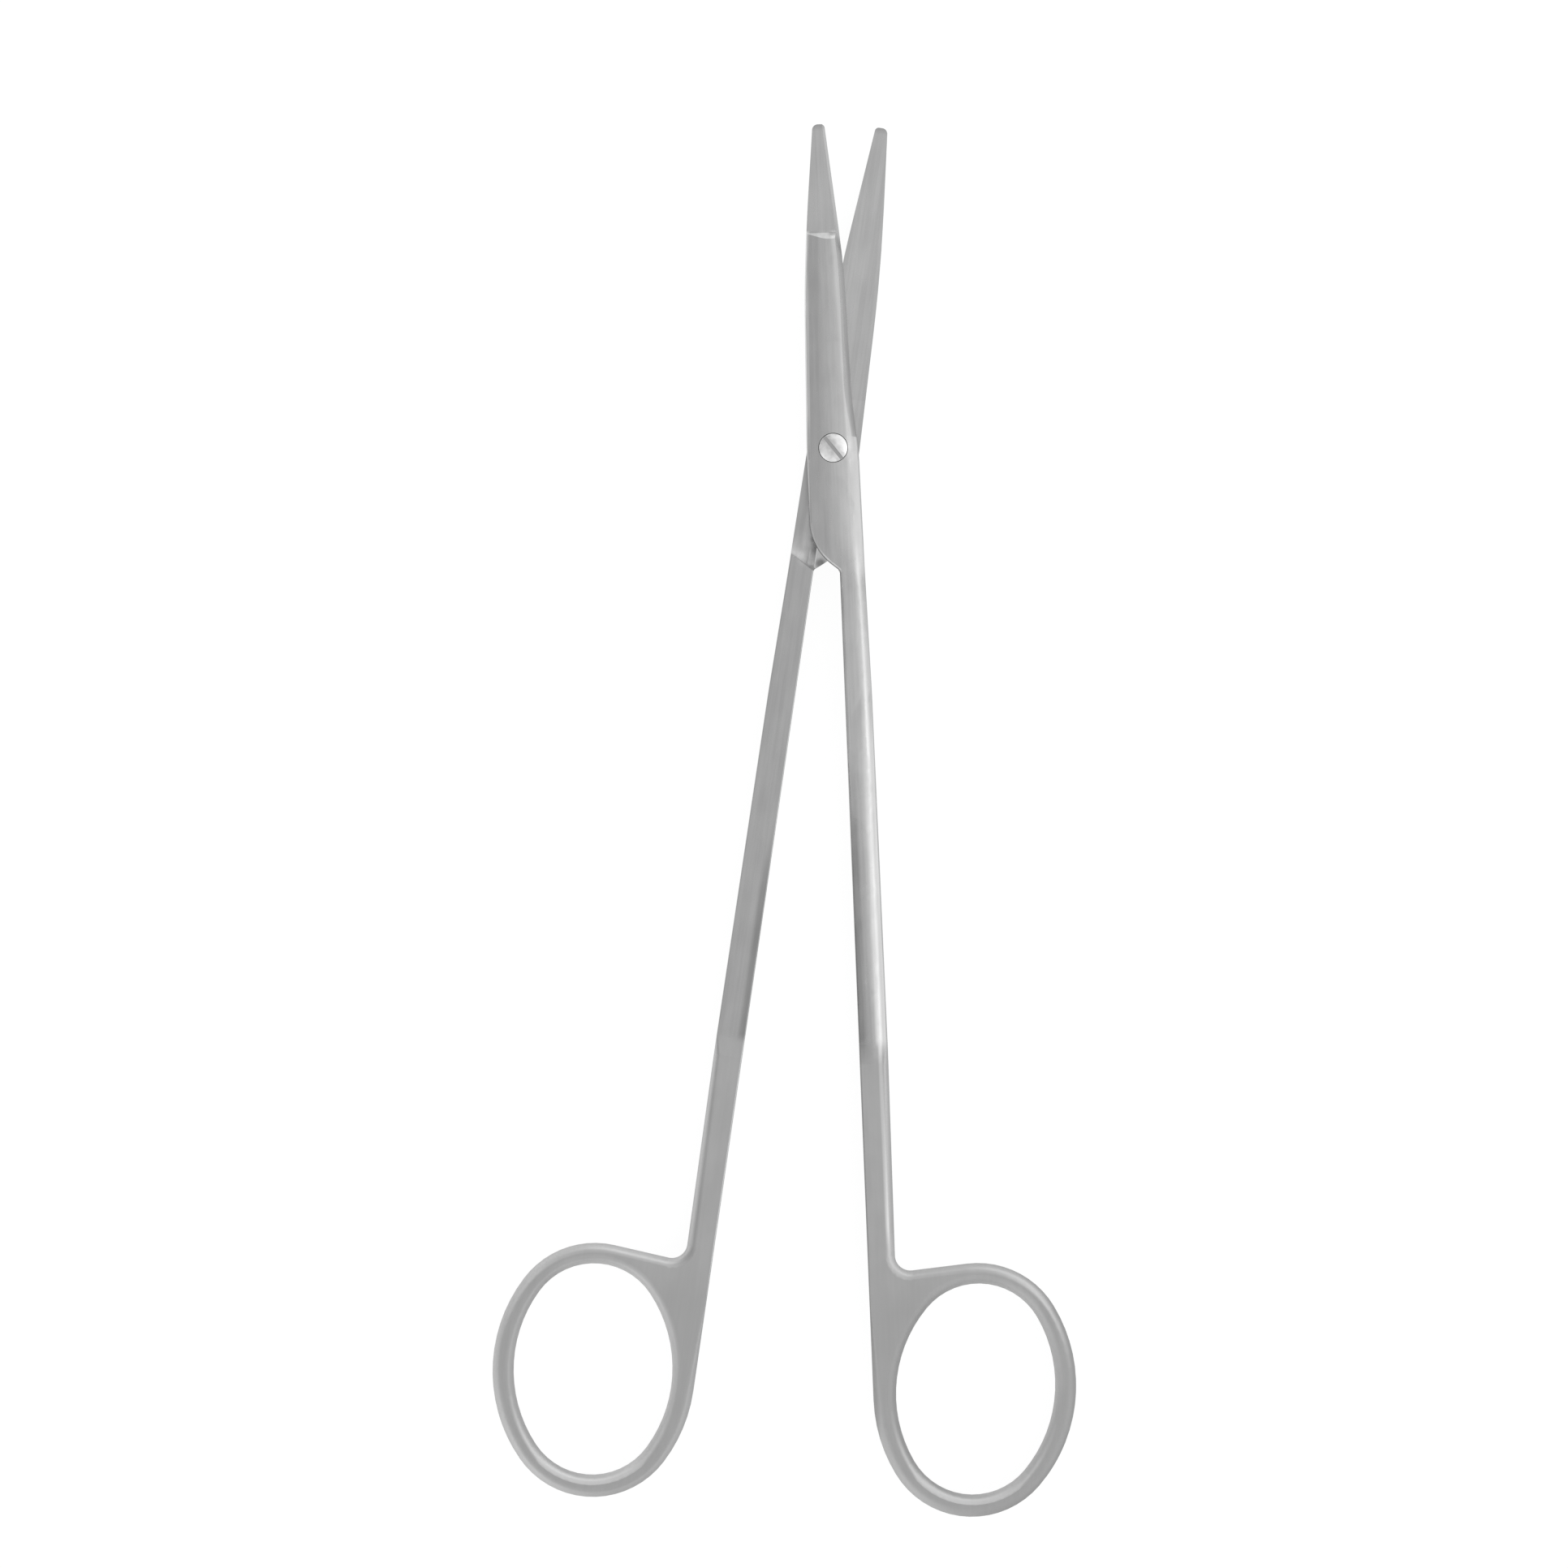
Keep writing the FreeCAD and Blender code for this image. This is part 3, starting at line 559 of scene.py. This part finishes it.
def polished_steel():
    """Turned and polished steel of the screw, with painted highlights on the cheeks and painted shade in
    the slot.
    """
    material, tree = new_material("polished_steel")
    coords = add(tree, "ShaderNodeTexCoord").outputs["Object"]
    turned = {
        "Vector": coords,
        "Rotation": (0, 0, math.radians(-SLOT_ANGLE)),
        "Scale": (1 / MM, 1 / MM, 1 / MM),
    }
    place = add(tree, "ShaderNodeMapping", turned)
    parts = add(tree, "ShaderNodeSeparateXYZ", [place])
    flat = add(tree, "ShaderNodeVectorMath", [place, (1, 1, 0)], operation="MULTIPLY")
    radius = add(tree, "ShaderNodeVectorMath", [flat], operation="LENGTH").outputs["Value"]
    # Painted shade in the slot, below the head's surface
    above = add(tree, RANGE, [parts.outputs["Z"], SLOT_LEVEL, SLOT_LEVEL + SLOT_SOFT], **SOFT)
    rim = add(tree, RANGE, [radius, HEAD_RADIUS - HEAD_RIM[0], HEAD_RADIUS - HEAD_RIM[1]], **SOFT)
    head = add(tree, MATH, [above, rim], operation="MAXIMUM")

    # A painted highlight on the cheeks beside the slot, broken by uneven patches
    aside = add(tree, MATH, [parts.outputs["Y"]], operation="ABSOLUTE")
    cheek_highlight = add(tree, RANGE, [aside, *CHEEK_HIGHLIGHT], **SOFT)
    patches = marks(tree, place, PATCHES)["patches"]
    shade = add(tree, RANGE, [patches, *MARK_CONTRAST, -PATCH_SHADE, PATCH_SHADE], **SOFT)
    shine = add(tree, MATH, [cheek_highlight, shade], operation="ADD", use_clamp=True)
    shades = {FACTOR: shine, FIRST_COLOUR: linear(HEAD_COLOUR), SECOND_COLOUR: linear(CHEEK_HIGHLIGHT_COLOUR)}
    bright = add(tree, MIX, shades, data_type="RGBA").outputs[MIXED_COLOUR]
    shades = {FACTOR: head, FIRST_COLOUR: linear(SLOT_SHADE_COLOUR), SECOND_COLOUR: bright}
    surface = {
        "Base Color": add(tree, MIX, shades, data_type="RGBA").outputs[MIXED_COLOUR],
        "Metallic": 1.0,
        "Specular Tint": linear(EDGE_TINT),
        "Roughness": add(tree, RANGE, [patches, *MARK_CONTRAST, *SCREW_ROUGHNESS], **SOFT),
    }
    add(tree, "ShaderNodeOutputMaterial", [add(tree, "ShaderNodeBsdfPrincipled", surface)])
    return material


def finish(node, material):
    """Give a CAD node its material."""
    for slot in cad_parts[node].material_slots:
        slot.material = material


def table():
    """A white table top, pure white to the eye and in the metal, that still takes the shadow."""
    shape = bmesh.new()
    bmesh.ops.create_grid(shape, x_segments=1, y_segments=1, size=TABLE_REACH * MM)
    bmesh.ops.translate(shape, verts=shape.verts, vec=(0, 0, -TABLE_GAP * MM))
    mesh = bpy.data.meshes.new("table")
    shape.to_mesh(mesh)
    shape.free()
    plane = bpy.data.objects.new("table", mesh)
    bpy.context.scene.collection.objects.link(plane)
    material, tree = new_material("white_table")
    path = add(tree, "ShaderNodeLightPath").outputs
    seen = add(tree, MATH, [path["Is Camera Ray"], path["Is Glossy Ray"]], operation="MAXIMUM")
    seen = add(tree, MATH, [seen, path["Is Transmission Ray"]], operation="MAXIMUM")
    paint = add(tree, "ShaderNodeBsdfDiffuse", {"Color": linear(TABLE_PAINT)})
    glow = add(tree, "ShaderNodeEmission", {"Color": linear("#FFFFFF"), "Strength": TABLE_GLOW})
    lit = add(tree, "ShaderNodeAddShader", [paint, glow])
    add(tree, "ShaderNodeOutputMaterial", [add(tree, "ShaderNodeMixShader", [seen, paint, lit])])
    mesh.materials.append(material)


def light_patch(tree, ray, towards, start, strength):
    """A soft light patch of the studio in one direction."""
    aim = add(tree, "ShaderNodeVectorMath", [ray, Vector(towards).normalized()], operation="DOT_PRODUCT")
    return add(tree, RANGE, [aim.outputs["Value"], start, 1.0, 0.0, strength], **SOFT)


def studio():
    """A soft white studio: darker on the left, a bright window low on the right, paler all round."""
    world = bpy.data.worlds.new("studio")
    bpy.context.scene.world = world
    world.use_nodes = True
    tree = world.node_tree
    tree.nodes.clear()
    ray = add(tree, "ShaderNodeTexCoord").outputs["Generated"]
    stops = [((side + 1) / 2, level / STUDIO_PEAK) for side, level in STUDIO]
    share = add(tree, RANGE, [add(tree, "ShaderNodeSeparateXYZ", [ray]), -1.0, 1.0])
    shades = add(tree, "ShaderNodeValToRGB", [share], stops=stops)
    shades.color_ramp.interpolation = "CARDINAL"
    level = add(tree, MATH, [shades, STUDIO_PEAK], operation="MULTIPLY")
    for patch in (TOP_PATCH, LOW_LEFT_PATCH):
        level = add(tree, MATH, [level, light_patch(tree, ray, *patch)], operation="ADD")
    sky = add(tree, "ShaderNodeBackground", {"Color": linear("#FFFFFF"), "Strength": level})
    add(tree, "ShaderNodeOutputWorld", [sky])


def camera():
    """A camera straight above the object, turned by its roll."""
    data = bpy.data.cameras.new("camera")
    data.lens = LENS
    data.sensor_width = SENSOR
    data.clip_start = NEAREST * MM
    data.clip_end = FURTHEST * MM
    view = bpy.data.objects.new("camera", data)
    distance = VIEW_WIDTH * LENS / SENSOR
    view.location = Vector((*VIEW_MIDDLE, OBJECT_LEVEL + distance)) * MM
    view.rotation_euler = (0, 0, math.radians(CAMERA_ROLL))
    bpy.context.scene.collection.objects.link(view)
    bpy.context.scene.camera = view


finish("upper_half", satin_steel("satin_steel_upper", **UPPER_FINISH))
finish("lower_half", satin_steel("satin_steel_lower", **LOWER_FINISH))
finish("pivot_screw", polished_steel())
table()
studio()
camera()
bpy.context.scene.view_settings.view_transform = "Standard"
